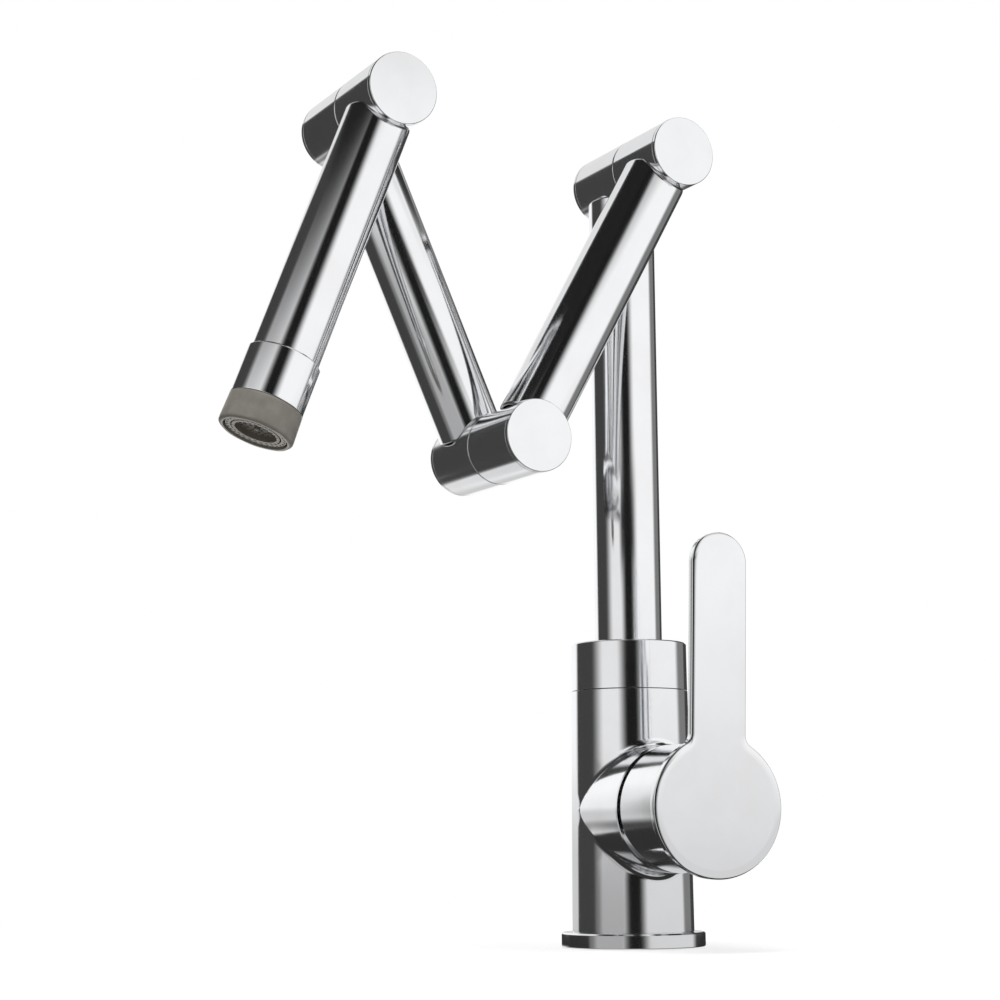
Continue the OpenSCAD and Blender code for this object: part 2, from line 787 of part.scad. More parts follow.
module aerator_screen() {
    screen_r = insert_r - insert_wall - push_clear;
    color(steel) on_spout() translate([0, 0, screen_at]) difference() {
        rod(screen_r, 0, screen_t);
        for (i = [0 : 11])
            rotate([0, 0, 30 * i]) translate([0.7 * screen_r, 0, -1])
                cylinder(r = screen_hole_r, h = screen_t + 2, $fn = 16);
    }
}

// Insert with jets for the stream in a central cup, and a flange with the spray holes
module aerator_insert() {
    plate = insert_end - cup_depth - insert_plate_t;
    color(insert_brown) on_spout() difference() {
        union() {
            rod(insert_r, insert_start, insert_end, 0, edge);
            rod(nose_r, insert_seat + push_clear, insert_end, 0, edge);
        }
        translate([0, 0, insert_start - 1])
            cylinder(r = insert_r - insert_wall, h = screen_at + screen_t - insert_start + 1);
        translate([0, 0, insert_start]) cylinder(r = chamber_wall_r, h = plate - insert_start);
        difference() {
            translate([0, 0, plate + insert_plate_t]) cylinder(r = cup_r, h = cup_depth + 1);
            rod(2 * jet_r, plate, plate + insert_plate_t + 1.2, 0, 0.3);
        }
        for (ring = jet_rings, i = [1 : ring[0]])
            rotate([0, 0, 360 * i / ring[0]]) translate([ring[1], 0, plate - 1])
                cylinder(r = jet_r, h = insert_plate_t + 2, $fn = 16);
        sleeve(cup_groove_r, cup_groove_r - cup_groove_w, insert_end - cup_depth, insert_end + 1);
        sleeve(spray_ring_r + plenum_w / 2, spray_ring_r - plenum_w / 2, insert_seat - 1, insert_seat + 1);
        for (i = [1 : spray_count])
            rotate([0, 0, 360 * i / spray_count]) translate([spray_ring_r, 0, insert_seat])
                cylinder(r = spray_r, h = ring_len, $fn = 16);
        for (a = [0 : 60 : 300])
            rotate([0, 0, a]) translate([chamber_wall_r - 0.5, -spray_r, insert_seat])
                cube([spray_ring_r - chamber_wall_r + 0.5, 2 * spray_r, plate - insert_seat]);
    }
}

base_flange();
base_gasket();
inlet_foot();
valve_body();
cartridge_base();
cartridge_port_seals();
fixed_ceramic_disc();
cartridge_housing();
cartridge_nut();
bonnet_dome();
swivel_spigot();
spigot_o_rings();
swivel_slide_ring();
cartridge_rotor();
stem_pivot_pin();
moving_ceramic_disc();
disc_coupler();
lever_stem();
lever_handle();
handle_grub_screw();
swivel_collar();
collar_grub_screw();
riser_tube();
at_elbow(riser_elbow) elbow_rear(180);  // riser_elbow_rear
at_elbow(riser_elbow) elbow_rear_cap();  // riser_elbow_rear_cap
at_elbow(riser_elbow) elbow_spindle();  // riser_elbow_spindle
at_elbow(riser_elbow) elbow_o_rings();  // riser_elbow_o_rings
at_elbow(riser_elbow) elbow_washer();  // riser_elbow_washer
at_elbow(riser_elbow) elbow_nut();  // riser_elbow_nut
at_elbow(riser_elbow) elbow_front(180 - upper_angle);  // riser_elbow_front
at_elbow(riser_elbow) elbow_front_cap();  // riser_elbow_front_cap
upper_arm_tube();
at_elbow(middle_elbow) elbow_front(-upper_angle);  // middle_elbow_front
at_elbow(middle_elbow) elbow_front_cap();  // middle_elbow_front_cap
at_elbow(middle_elbow) elbow_rear(middle_angle);  // middle_elbow_rear
at_elbow(middle_elbow) elbow_rear_cap();  // middle_elbow_rear_cap
at_elbow(middle_elbow) elbow_spindle();  // middle_elbow_spindle
at_elbow(middle_elbow) elbow_o_rings();  // middle_elbow_o_rings
at_elbow(middle_elbow) elbow_washer();  // middle_elbow_washer
at_elbow(middle_elbow) elbow_nut();  // middle_elbow_nut
middle_arm_tube();
at_elbow(spout_elbow) elbow_rear(180 + middle_angle);  // spout_elbow_rear
at_elbow(spout_elbow) elbow_rear_cap();  // spout_elbow_rear_cap
at_elbow(spout_elbow) elbow_spindle();  // spout_elbow_spindle
at_elbow(spout_elbow) elbow_o_rings();  // spout_elbow_o_rings
at_elbow(spout_elbow) elbow_washer();  // spout_elbow_washer
at_elbow(spout_elbow) elbow_nut();  // spout_elbow_nut
at_elbow(spout_elbow) elbow_front(180 - spout_angle);  // spout_elbow_front
at_elbow(spout_elbow) elbow_front_cap();  // spout_elbow_front_cap
spout_tube();
nozzle_collar();
nozzle_twist_ring();
ring_retainer();
flow_washer();
aerator_screen();
aerator_insert();
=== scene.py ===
import json
import math

import bmesh
import bpy
from mathutils import Matrix, Vector, kdtree

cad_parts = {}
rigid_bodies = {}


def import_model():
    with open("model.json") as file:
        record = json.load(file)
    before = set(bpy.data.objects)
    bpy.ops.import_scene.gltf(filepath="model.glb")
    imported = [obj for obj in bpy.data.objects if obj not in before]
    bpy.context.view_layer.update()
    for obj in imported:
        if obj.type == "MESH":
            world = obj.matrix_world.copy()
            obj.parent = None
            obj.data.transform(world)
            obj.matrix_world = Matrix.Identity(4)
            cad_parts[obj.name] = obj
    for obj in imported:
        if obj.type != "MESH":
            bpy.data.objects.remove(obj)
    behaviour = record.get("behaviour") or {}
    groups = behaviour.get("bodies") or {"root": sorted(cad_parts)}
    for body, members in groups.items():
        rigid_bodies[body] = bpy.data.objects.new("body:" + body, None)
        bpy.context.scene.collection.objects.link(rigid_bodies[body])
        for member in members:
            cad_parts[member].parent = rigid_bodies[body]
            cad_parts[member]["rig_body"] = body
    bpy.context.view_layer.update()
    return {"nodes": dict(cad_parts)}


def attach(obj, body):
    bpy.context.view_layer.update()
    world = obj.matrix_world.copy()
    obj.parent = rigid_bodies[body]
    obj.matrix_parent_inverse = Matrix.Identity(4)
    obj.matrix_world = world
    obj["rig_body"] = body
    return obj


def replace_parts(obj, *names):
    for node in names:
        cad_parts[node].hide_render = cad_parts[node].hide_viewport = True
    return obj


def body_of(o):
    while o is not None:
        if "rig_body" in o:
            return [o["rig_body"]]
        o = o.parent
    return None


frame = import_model()
nodes = frame["nodes"]
mm = 0.001
samePlace = 0.002 * mm  # points closer than this are one
print("frame loaded,", len(nodes), "nodes")


def colour(code):
    # an sRGB hex code as linear red, green, blue and alpha
    channels = [int(code[i:i + 2], 16) / 255 for i in (0, 2, 4)]
    return [c / 12.92 if c <= 0.04045 else ((c + 0.055) / 1.055) ** 2.4 for c in channels] + [1]


white = colour("FFFFFF")


def addNode(tree, kind, inputs=None, **settings):
    # settings are the node's own options; an input is a value, a socket, or a node whose first output is meant
    node = tree.nodes.new(kind)
    for name, value in settings.items():
        setattr(node, name, value)
    for name, value in (inputs or {}).items():
        if isinstance(value, bpy.types.Node):
            value = value.outputs[0]
        if isinstance(value, bpy.types.NodeSocket):
            tree.links.new(value, node.inputs[name])
        else:
            node.inputs[name].default_value = value
    return node


def newMaterial(name):
    material = bpy.data.materials.new(name)
    material.use_nodes = True
    material.node_tree.nodes.clear()
    return material, material.node_tree


# in every finish, blotch, wave, grain and pitch are distances in mm from one to the next, depths are in mm, and
# a band is the part of a pattern over which the finish changes
# a colour mix takes its amount at input 0 and its colours at 6 and 7
chromePlate = {"tint": "F8F9FB", "warmTint": "F4F4F5", "smoothest": 0.09, "roughest": 0.13,
               "blotch": 22, "blotchDetail": 5, "blotchBreak": 0.6, "tintBand": (0.3, 0.8), "roughBand": (0.35, 0.7),
               "wave": 38, "waveDepth": 0.012}


def chromeMaterial(values):
    # polished brass under bright chrome plate: a cold mirror that is a little wavy
    material, tree = newMaterial("polished chrome plate")
    place = addNode(tree, "ShaderNodeTexCoord").outputs["Object"]
    blotch = addNode(tree, "ShaderNodeTexNoise", {
        "Vector": place, "Scale": 1 / (values["blotch"] * mm), "Detail": values["blotchDetail"],
        "Roughness": values["blotchBreak"]})
    rough = addNode(tree, "ShaderNodeMapRange", {
        "Value": blotch, "From Min": values["roughBand"][0], "From Max": values["roughBand"][1],
        "To Min": values["smoothest"], "To Max": values["roughest"]}, interpolation_type="SMOOTHSTEP")
    warmth = addNode(tree, "ShaderNodeMapRange", {
        "Value": blotch, "From Min": values["tintBand"][0], "From Max": values["tintBand"][1]},
        interpolation_type="SMOOTHSTEP")
    tint = addNode(tree, "ShaderNodeMix", {
        0: warmth, 6: colour(values["tint"]), 7: colour(values["warmTint"])}, data_type="RGBA").outputs[2]
    wave = addNode(tree, "ShaderNodeTexNoise", {"Vector": place, "Scale": 1 / (values["wave"] * mm), "Detail": 0})
    ripple = addNode(tree, "ShaderNodeBump", {"Height": wave, "Strength": 1, "Distance": values["waveDepth"] * mm})
    plate = addNode(tree, "ShaderNodeBsdfPrincipled", {
        "Base Color": tint, "Metallic": 1, "Roughness": rough, "Normal": ripple})
    addNode(tree, "ShaderNodeOutputMaterial", {"Surface": plate})
    return material


turnedBrass = {"tint": "C79A52", "darkTint": "9A6F35", "smoothest": 0.2, "roughest": 0.38,
               "blotch": 6, "blotchDetail": 4, "roughBand": (0.3, 0.7), "pitch": 0.35, "wander": 0.6, "depth": 0.006}
ridgeSpacing = 0.314  # metres between the ridges of a wave texture at scale 1


def brassMaterial(values):
    # machined brass: yellow metal with a few dull blotches; its turning rings, really about 0.1 mm apart, are
    # drawn coarser so that they show
    material, tree = newMaterial("turned brass")
    place = addNode(tree, "ShaderNodeTexCoord").outputs["Object"]
    blotch = addNode(tree, "ShaderNodeTexNoise", {
        "Vector": place, "Scale": 1 / (values["blotch"] * mm), "Detail": values["blotchDetail"]})
    rings = addNode(tree, "ShaderNodeTexWave", {
        "Vector": place, "Scale": ridgeSpacing / (values["pitch"] * mm), "Distortion": values["wander"]},
        wave_type="BANDS", bands_direction="Z").outputs["Fac"]
    groove = addNode(tree, "ShaderNodeBump", {"Height": rings, "Strength": 1, "Distance": values["depth"] * mm})
    tint = addNode(tree, "ShaderNodeMix", {
        0: blotch, 6: colour(values["tint"]), 7: colour(values["darkTint"])}, data_type="RGBA").outputs[2]
    rough = addNode(tree, "ShaderNodeMapRange", {
        "Value": blotch, "From Min": values["roughBand"][0], "From Max": values["roughBand"][1],
        "To Min": values["smoothest"], "To Max": values["roughest"]}, interpolation_type="SMOOTHSTEP")
    metal = addNode(tree, "ShaderNodeBsdfPrincipled", {
        "Base Color": tint, "Metallic": 1, "Roughness": rough, "Normal": groove})
    addNode(tree, "ShaderNodeOutputMaterial", {"Surface": metal})
    return material


drawnSteel = {"tint": "C4C6C8", "smoothest": 0.2, "roughest": 0.36, "grain": 0.5, "grainDetail": 3,
              "roughBand": (0.3, 0.7), "depth": 0.003}


def steelMaterial(values):
    # stainless wire, pins and screws: grey metal, finely drawn
    material, tree = newMaterial("stainless steel")
    place = addNode(tree, "ShaderNodeTexCoord").outputs["Object"]
    grain = addNode(tree, "ShaderNodeTexNoise", {
        "Vector": place, "Scale": 1 / (values["grain"] * mm), "Detail": values["grainDetail"]})
    rough = addNode(tree, "ShaderNodeMapRange", {
        "Value": grain, "From Min": values["roughBand"][0], "From Max": values["roughBand"][1],
        "To Min": values["smoothest"], "To Max": values["roughest"]}, interpolation_type="SMOOTHSTEP")
    scratch = addNode(tree, "ShaderNodeBump", {"Height": grain, "Strength": 1, "Distance": values["depth"] * mm})
    metal = addNode(tree, "ShaderNodeBsdfPrincipled", {
        "Base Color": colour(values["tint"]), "Metallic": 1, "Roughness": rough, "Normal": scratch})
    addNode(tree, "ShaderNodeOutputMaterial", {"Surface": metal})
    return material


sealRubber = {"tint": "1E1E1F", "darkTint": "141415", "blotch": 5, "grain": 0.4, "depth": 0.02,
              "smoothest": 0.5, "roughest": 0.72}  # nitrile o-rings: dull black with a greasy sheen
washerNylon = {"tint": "ECE7DA", "darkTint": "DDD6C4", "blotch": 4, "grain": 0.5, "depth": 0.01,
               "smoothest": 0.34, "roughest": 0.5}  # natural nylon: milky, slightly waxy
discCeramic = {"tint": "F3EFE6", "darkTint": "E9E2D4", "blotch": 3, "grain": 0.15, "depth": 0.002,
               "smoothest": 0.1, "roughest": 0.22}  # lapped alumina: off-white and nearly glossy
ringPlastic = {"tint": "827E77", "darkTint": "75716A", "blotch": 6, "grain": 0.22, "depth": 0.012,
               "smoothest": 0.34, "roughest": 0.48}  # warm grey moulded ring: satin with a spark-eroded grain
paleFaceTint = {"tint": "BDB9B1", "darkTint": "B0ACA4", "blotch": 4, "grain": 0.2, "depth": 0.01,
               "smoothest": 0.3, "roughest": 0.42}  # paler tint on the faces that look out of the nozzle; against it, the darker tint left in the insert's recess is painted shade
nubSilicone = {"tint": "D8D5CE", "darkTint": "CBC7BF", "blotch": 2, "grain": 0.15, "depth": 0.006,
               "smoothest": 0.3, "roughest": 0.45}  # pale silicone lips that can be rubbed free of lime
insertTintAndRecessShade = {"tint": "6F6962", "darkTint": "625C55", "blotch": 5, "grain": 0.25, "depth": 0.01,
                 "smoothest": 0.28, "roughest": 0.42}  # brown-grey outlet insert: smooth, a bit shinier than the ring; in the recess, its darker tint is painted shade
mouldedSkin = {"blotchDetail": 3, "grainDetail": 2, "tintBand": (0.3, 0.7), "roughBand": (0.25, 0.75)}


def mouldedMaterial(name, values):
    # one moulded skin: two close tints in soft blotches and a fine grain that breaks the shine
    material, tree = newMaterial(name)
    place = addNode(tree, "ShaderNodeTexCoord").outputs["Object"]
    blotch = addNode(tree, "ShaderNodeTexNoise", {
        "Vector": place, "Scale": 1 / (values["blotch"] * mm), "Detail": mouldedSkin["blotchDetail"]})
    grain = addNode(tree, "ShaderNodeTexNoise", {
        "Vector": place, "Scale": 1 / (values["grain"] * mm), "Detail": mouldedSkin["grainDetail"]})
    shade = addNode(tree, "ShaderNodeMapRange", {
        "Value": blotch, "From Min": mouldedSkin["tintBand"][0], "From Max": mouldedSkin["tintBand"][1]},
        interpolation_type="SMOOTHSTEP")
    tint = addNode(tree, "ShaderNodeMix", {
        0: shade, 6: colour(values["tint"]), 7: colour(values["darkTint"])}, data_type="RGBA").outputs[2]
    rough = addNode(tree, "ShaderNodeMapRange", {
        "Value": grain, "From Min": mouldedSkin["roughBand"][0], "From Max": mouldedSkin["roughBand"][1],
        "To Min": values["smoothest"], "To Max": values["roughest"]}, interpolation_type="SMOOTHSTEP")
    pits = addNode(tree, "ShaderNodeBump", {"Height": grain, "Strength": 1, "Distance": values["depth"] * mm})
    skin = addNode(tree, "ShaderNodeBsdfPrincipled", {"Base Color": tint, "Roughness": rough, "Normal": pits})
    addNode(tree, "ShaderNodeOutputMaterial", {"Surface": skin})
    return material


materials = {
    "chrome": chromeMaterial(chromePlate),
    "brass": brassMaterial(turnedBrass),
    "steel": steelMaterial(drawnSteel),
    "rubber": mouldedMaterial("seal rubber", sealRubber),
    "nylon": mouldedMaterial("natural nylon", washerNylon),
    "ceramic": mouldedMaterial("alumina ceramic", discCeramic),
    "ring_grey": mouldedMaterial("grey ring plastic", ringPlastic),
    "insert_brown": mouldedMaterial("brown insert plastic", insertTintAndRecessShade),
    "outlet face": mouldedMaterial("outlet face plastic", paleFaceTint),
}

for node in nodes.values():
    for slot in node.material_slots:
        slot.material = materials[slot.material.name.split(".")[0]]
print("finishes on the frame's nodes")

# the tap's own frames, in mm and degrees: the column turns about z, and the elbows' axes lie along the column's x
column = {"turn": 6.8, "frontPlane": 34, "elbowRadius": 14.5, "armLength": 144, "riserTop": 324.5,
          "upperAngle": 29.2, "middleAngle": 24.1, "spoutAngle": 21.2}


def elbowPoint(start, angle):
    length, lean = column["armLength"], math.radians(angle)
    return Vector((0, start.y + length * math.sin(lean), start.z + length * math.cos(lean)))


def columnFrame(point, plane, angle):
    # angle from straight up towards -y, as the tube leaves this elbow
    return (Matrix.Rotation(math.radians(column["turn"]), 4, "Z")
            @ Matrix.Translation(Vector((plane, point.y, point.z)) * mm)
            @ Matrix.Rotation(math.radians(angle), 4, "X"))


riserElbow = Vector((0, 0, column["riserTop"]))
middleElbow = elbowPoint(riserElbow, 180 + column["upperAngle"])
spoutElbow = elbowPoint(middleElbow, -column["middleAngle"])
spoutFrame = columnFrame(spoutElbow, column["frontPlane"], 180 - column["spoutAngle"])
intoSpout = spoutFrame.inverted()


def newMesh(name, points, faces, slotName, normals=None, sharpAbove=50):
    # points in metres in the frame; without normals of its own it is shaded smooth up to an angle between faces
    mesh = bpy.data.meshes.new(name)
    mesh.from_pydata(points, [], faces)
    mesh.polygons.foreach_set("use_smooth", [True] * len(faces))
    if normals:
        mesh.normals_split_custom_set(normals)
    else:
        mesh.set_sharp_from_angle(angle=math.radians(sharpAbove))
    mesh.materials.append(materials[slotName])
    return mesh


def addPiece(name, mesh, body):
    piece = bpy.data.objects.new(name, mesh)
    bpy.context.collection.objects.link(piece)
    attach(piece, body)
    return piece


def bakeModifier(mesh, kind, options, inputs=()):
    # the plain mesh that one modifier makes of this one
    holder = bpy.data.objects.new("holder", mesh)
    bpy.context.collection.objects.link(holder)
    modifier = holder.modifiers.new("holder's modifier", kind)
    for option, value in options.items():
        setattr(modifier, option, value)
    for identifier, value in inputs:
        modifier[identifier] = value
    baked = bpy.data.meshes.new_from_object(holder.evaluated_get(bpy.context.evaluated_depsgraph_get()))
    bpy.data.objects.remove(holder)
    return baked


def roundCorners(count, size):
    # outlines of so many points stand all round an axis: each face's corners as pairs of outline and point
    for k in range(count):
        following = (k + 1) % count
        for j in range(size):
            ahead = (j + 1) % size
            yield (k, j), (following, j), (following, ahead), (k, ahead)


armTube = {"outer": 13.3, "inner": 11.9, "start": 0, "end": column["armLength"], "startElbow": True, "endElbow": True}
tubes = {
    "riser_tube": {"outer": 14, "inner": 12.6, "start": 116.1, "end": 324.5, "startElbow": False, "endElbow": True,
                   "body": "column", "place": Matrix.Rotation(math.radians(column["turn"]), 4, "Z")},
    "upper_arm_tube": {**armTube, "body": "upper_arm",
                       "place": columnFrame(middleElbow, column["frontPlane"], -column["upperAngle"])},
    "middle_arm_tube": {**armTube, "body": "middle_arm", "place": columnFrame(middleElbow, 0, column["middleAngle"])},
    "spout_tube": {**armTube, "end": 126, "endElbow": False, "body": "spout", "place": spoutFrame},
}
tubeEnds = {"cut": 9.32, "round": 0.9, "plainRound": 0.2, "steps": 5, "count": 192}


def tubeEnd(radius, across, onElbow):
    # how far from the elbow's axis a tube ends: square, but hollowed where the elbow's barrel passes
    if not onElbow:
        return 0
    side = radius * across
    return max(tubeEnds["cut"], math.sqrt(max(column["elbowRadius"] ** 2 - side * side, 0)))


def tubeOutline(values, turn):
    # the tube's wall seen from the side, start to end: radius, place along the axis, and where the skin faces
    outline = []
    for isEnd in (False, True):
        onElbow = values["endElbow" if isEnd else "startElbow"]
        base, sign = (values["end"], -1) if isEnd else (values["start"], 1)
        soft = tubeEnds["round" if onElbow else "plainRound"]
        side = [(values["inner"], base + sign * tubeEnd(values["inner"], math.sin(turn), onElbow), 0, 0)]
        for j in range(tubeEnds["steps"] + 1):
            bend = math.pi / 2 * j / tubeEnds["steps"]
            radius = values["outer"] - soft + soft * math.sin(bend)
            inwards = tubeEnd(radius, math.sin(turn), onElbow) + soft * (1 - math.cos(bend))
            side.append((radius, base + sign * inwards, math.sin(bend), -sign * math.cos(bend)))
        outline += side[::-1] if isEnd else side
    return outline


def addTube(name, values):
    # drawn tube with its edges rounded where it meets the elbows
    count, place = tubeEnds["count"], values["place"]
    points, faces, normals, leans = [], [], [], []
    for k in range(count):
        turn = k * math.tau / count
        outline = tubeOutline(values, turn)
        points += [place @ (Vector((radius * math.cos(turn), radius * math.sin(turn), station)) * mm)
                   for radius, station, _, _ in outline]
        leans.append([place.to_3x3() @ Vector((out * math.cos(turn), out * math.sin(turn), along))
                      for _, _, out, along in outline])
    for corners in roundCorners(count, len(outline)):
        faces.append([k * len(outline) + j for k, j in corners])
        # zero vectors leave the bore and the square ends to their own normals
        isSkin = all(any(leans[k][j]) for k, j in corners)
        normals += [leans[k][j] if isSkin else Vector() for k, j in corners]
    mesh = newMesh(name + "_drawn", points, faces, "chrome", normals)
    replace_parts(addPiece(name + "_drawn", mesh, values["body"]), name)


for name, values in tubes.items():
    addTube(name, values)
print("tubes drawn")

# chrome castings whose chamfers, where narrower than this in mm, shade as small roundings
elbowChamfer = 0.7
softPieces = {"base_flange": 0.7, "valve_body": 0.5, "swivel_collar": 1.1, "nozzle_collar": 1.4}
for elbow in ("riser", "middle", "spout"):
    for part in ("rear", "rear_cap", "front", "front_cap"):
        softPieces[elbow + "_elbow_" + part] = elbowChamfer
sameSide = 0.5  # two normals whose product is above this belong to one side


def joinedPoints(mesh):
    # for each vertex, the first one at the same place
    tree = kdtree.KDTree(len(mesh.vertices))
    for vertex in mesh.vertices:
        tree.insert(vertex.co, vertex.index)
    tree.balance()
    joined = [None] * len(mesh.vertices)
    for vertex in mesh.vertices:
        if joined[vertex.index] is None:
            for _, other, _ in tree.find_range(vertex.co, samePlace):
                if joined[other] is None:
                    joined[other] = vertex.index
    return joined


def surfaceNumbers(mesh):
    # faces that share vertices belong to one surface of the CAD part
    parent = list(range(len(mesh.vertices)))

    def top(index):
        while parent[index] != index:
            parent[index] = parent[parent[index]]
            index = parent[index]
        return index

    for face in mesh.polygons:
        for other in face.vertices[1:]:
            parent[top(other)] = top(face.vertices[0])
    return [top(face.vertices[0]) for face in mesh.polygons]


def narrowSurfaces(mesh, numbers, width):
    # a long strip's width is twice its area over the length of its border
    area, border, used = {}, {}, {}
    for face, number in zip(mesh.polygons, numbers):
        area[number] = area.get(number, 0) + face.area
        for key in face.edge_keys:
            used.setdefault(key, []).append(number)
    for (first, second), owners in used.items():
        if len(owners) == 1:
            length = (mesh.vertices[first].co - mesh.vertices[second].co).length
            border[owners[0]] = border.get(owners[0], 0) + length
    return {number for number in area if border.get(number, 0) and 2 * area[number] / border[number] < width * mm}


def addSoftCopy(name, width, slotName="chrome"):
    # the node's own normals stay on its wide faces, and its narrow ones take theirs from these
    mesh = nodes[name].data
    joined, numbers = joinedPoints(mesh), surfaceNumbers(mesh)
    narrow = narrowSurfaces(mesh, numbers, width)
    wide = {}
    for face, number in zip(mesh.polygons, numbers):
        if number not in narrow:
            for loop in face.loop_indices:
                corner = joined[mesh.loops[loop].vertex_index]
                wide.setdefault(corner, []).append(mesh.corner_normals[loop].vector.copy())
    places = sorted(set(joined))
    order = {old: new for new, old in enumerate(places)}
    faces, normals = [], []
    for face, number in zip(mesh.polygons, numbers):
        corners = [joined[vertex] for vertex in face.vertices]
        if len(set(corners)) < len(corners):
            continue
        faces.append([order[corner] for corner in corners])
        for loop, corner in zip(face.loop_indices, corners):
            own = mesh.corner_normals[loop].vector.copy()
            near = []
            if number in narrow:
                near = [normal for normal in wide.get(corner, []) if normal.dot(own) > sameSide]
            normals.append(max(near, key=own.dot) if near else own)
    points = [mesh.vertices[old].co.copy() for old in places]
    soft = newMesh(name + "_soft", points, faces, slotName, normals)
    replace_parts(addPiece(name + "_soft", soft, body_of(nodes[name])[0]), name)
    return len(narrow)


print("chamfers softened:", {name: addSoftCopy(name, width) for name, width in softPieces.items()})

collarEnd = {"from": 133.5, "outside": 12.9, "longer": 1.3}


def lengthenCollar(values):
    # the turned collar reaches a little further down over the nose, towards the grip ring
    longer = spoutFrame.to_3x3() @ Vector((0, 0, values["longer"] * mm))
    for vertex in bpy.data.objects["nozzle_collar_soft"].data.vertices:
        place = intoSpout @ vertex.co
        if place.z > values["from"] * mm and place.xy.length > values["outside"] * mm:
            vertex.co += longer


lengthenCollar(collarEnd)

# body and branch are cones: a radius, how much it changes per mm, and for the body the height it is taken at
fillet = {"radius": 4, "steps": 10, "count": 240, "axis": 55, "body": (25, 0.00815, 5.8), "branch": (24.4, 0.0231),
          "rounds": 4, "sunk": 1.02}


def addFillet(values):
    # the casting's rounded corner where the branch leaves the body, as a ball of this radius rolls round it
    count, steps, ball, axis = values["count"], values["steps"], values["radius"], values["axis"]
    bodyRadius, bodyTaper, bodyFoot = values["body"]
    branchRadius, branchTaper = values["branch"]
    points, faces, normals, leans = [], [], [], []
    for k in range(count):
        turn = k * math.tau / count
        across = branchRadius
        for _ in range(values["rounds"]):
            centre = Vector((0, (across + ball) * math.cos(turn), (across + ball) * math.sin(turn)))
            reach = bodyRadius - bodyTaper * (axis + (across + ball) * math.sin(turn) - bodyFoot) + ball
            centre.x = math.sqrt(reach ** 2 - centre.y ** 2)
            across = branchRadius + branchTaper * centre.x
        toBody = -Vector((centre.x, centre.y, 0)).normalized()
        toBranch = -Vector((0, centre.y, centre.z)).normalized()
        row = [toBody.slerp(toBranch, j / steps) for j in range(steps + 1)]
        corner = (toBody + toBranch) / (1 + toBody.dot(toBranch)) * values["sunk"]
        points += [(centre + way * ball + Vector((0, 0, axis))) * mm for way in row + [corner]]
        leans.append([-way for way in row])
    for corners in roundCorners(count, steps + 2):
        faces.append([k * (steps + 2) + j for k, j in corners])
        isSkin = corners[0][1] < steps
        normals += [leans[k][j] if isSkin else Vector() for k, j in corners]
    addPiece("branch_fillet", newMesh("branch_fillet", points, faces, "chrome", normals), "base")


addFillet(fillet)

twistRing = {"start": 136.38, "flareEnd": 145.9, "end": 148, "top": 14.3, "topEdge": 0.08, "rise": 0.35, "edge": 1.1,
             "bore": 12.45, "mouth": 12.7, "mouthStart": 143, "lobes": 8, "wave": 0.12,
             "count": 256, "rows": 10, "edgeSteps": 5, "skin": 0.01}


def ringProfile(values):
    # radius, place along the spout, and how much of the lobes' swell a point takes
    top, start = values["top"], values["start"]
    profile = [(values["bore"], start, 0), (top - values["topEdge"], start, 0)]
    for j in range(values["rows"] + 1):
        part = j / values["rows"]
        station = start + values["topEdge"] + part * (values["flareEnd"] - start - values["topEdge"])
        profile.append((top + values["rise"] * part, station, part))
    for j in range(values["edgeSteps"] + 1):
        bend = math.pi / 2 * j / values["edgeSteps"]
        radius = top + values["rise"] - values["edge"] * (1 - math.cos(bend))
        profile.append((radius, values["end"] - values["edge"] + values["edge"] * math.sin(bend), 1))
    mouth = [(values["mouth"], values["end"]), (values["mouth"], values["mouthStart"]),
             (values["bore"], values["mouthStart"])]
    return profile + [(radius, station, 0) for radius, station in mouth]


def addTwistRing(values):
    # moulded grip ring: it flares a little towards its lower edge, and eight faint lobes grow out of it
    profile = ringProfile(values)
    points = []
    for k in range(values["count"]):
        turn = k * math.tau / values["count"]
        swell = -values["wave"] * (math.cos(values["lobes"] * turn) + 1)
        for radius, station, share in profile:
            out = radius + swell * share
            points.append(spoutFrame @ (Vector((out * math.cos(turn), out * math.sin(turn), station)) * mm))
    faces = [[k * len(profile) + j for k, j in corners] for corners in roundCorners(values["count"], len(profile))]
    piece = addPiece("twist_ring_grip", newMesh("twist_ring_grip", points, faces, "ring_grey"),
                     "twist_ring")
    # its faces at the lower edge take the paler outlet face tint, and its sides keep the darker grey
    piece.data.materials.append(materials["outlet face"])
    for face in piece.data.polygons:
        if (intoSpout @ face.center).z > (values["end"] - values["skin"]) * mm:
            face.material_index = 1
    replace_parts(piece, "nozzle_twist_ring")


addTwistRing(twistRing)

outlet = {"chamfer": 0.3, "face": 147.2, "slack": 0.06}


def addOutlet(values):
    # the insert, with the paler tint on the faces that look out of the nozzle, and the darker tint left in its recess
    # as painted shade
    addSoftCopy("aerator_insert", values["chamfer"], "insert_brown")
    mesh = bpy.data.objects["aerator_insert_soft"].data
    mesh.materials.append(materials["outlet face"])
    for face in mesh.polygons:
        if abs((intoSpout @ face.center).z - values["face"] * mm) < values["slack"] * mm:
            face.material_index = 1


addOutlet(outlet)
print("collar, fillet, grip ring and outlet shaped")

nubs = {"count": 24, "ringRadius": 8.9, "lipRadius": 0.4, "lip": 0.22, "station": 147.3, "sides": 16, "lipSides": 8}


